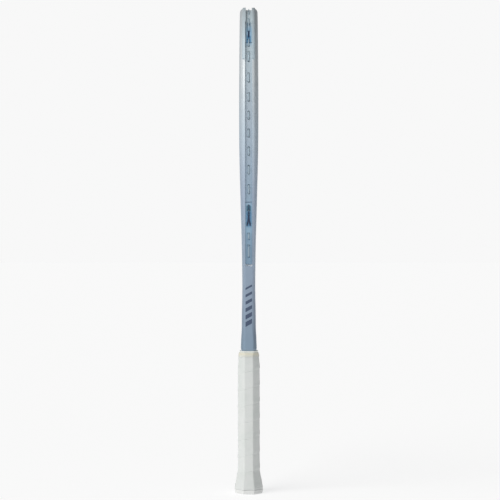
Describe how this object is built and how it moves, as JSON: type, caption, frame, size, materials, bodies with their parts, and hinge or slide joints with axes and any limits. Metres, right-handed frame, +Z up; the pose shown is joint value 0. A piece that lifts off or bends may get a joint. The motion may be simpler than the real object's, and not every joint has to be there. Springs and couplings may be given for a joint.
{
  "type": "tennis racket",
  "caption": "Strung open-throat racket with a hollow lacquered frame, moulded guard and grommet strips, and a wrapped octagonal handle with a flared butt.",
  "frame": {"origin": "centre of the butt's bottom face, where the racket stands on its handle", "axes": "+Z up the racket's length towards the tip, +X across the head in the plane of the strings, +Y through the beam, out of one face of the string bed"},
  "size_m": [0.2654, 0.0402, 0.6858],
  "materials": {
    "frame_lacquer": "glossy pearl lacquer over the laminate",
    "guard_plastic": "satin moulded nylon",
    "strip_plastic": "satin moulded nylon",
    "accent_plastic": "tinted elastomer",
    "string_polymer": "smooth extruded monofilament",
    "pallet_foam": "moulded foam skin",
    "cap_plastic": "moulded nylon",
    "badge_plastic": "polished",
    "staple_steel": "drawn wire",
    "grip_wrap": "perforated synthetic, soft touch",
    "finishing_tape": "cloth-backed tape",
    "silicone": "cast"
  },
  "bodies": {
    "root": {"frame": "frame_lacquer", "throat_bridge": "frame_lacquer", "bumper_guard": "guard_plastic", "side_grommet_strip_left": "strip_plastic", "side_grommet_strip_right": "strip_plastic", "shoulder_grommet_strip_left": "strip_plastic", "shoulder_grommet_strip_right": "strip_plastic", "bridge_grommet_strip": "strip_plastic", "upper_accent_insert_left": "accent_plastic", "upper_accent_insert_right": "accent_plastic", "lower_accent_insert_left": "accent_plastic", "lower_accent_insert_right": "accent_plastic", "main_string": "string_polymer", "cross_string": "string_polymer", "handle_pallet_front": "pallet_foam", "handle_pallet_back": "pallet_foam", "butt_cap": "cap_plastic", "butt_badge": "badge_plastic", "butt_cap_staples": "staple_steel", "base_grip": "grip_wrap", "finishing_tape": "finishing_tape", "balance_weights": "silicone"}
  },
  "joints": []
}
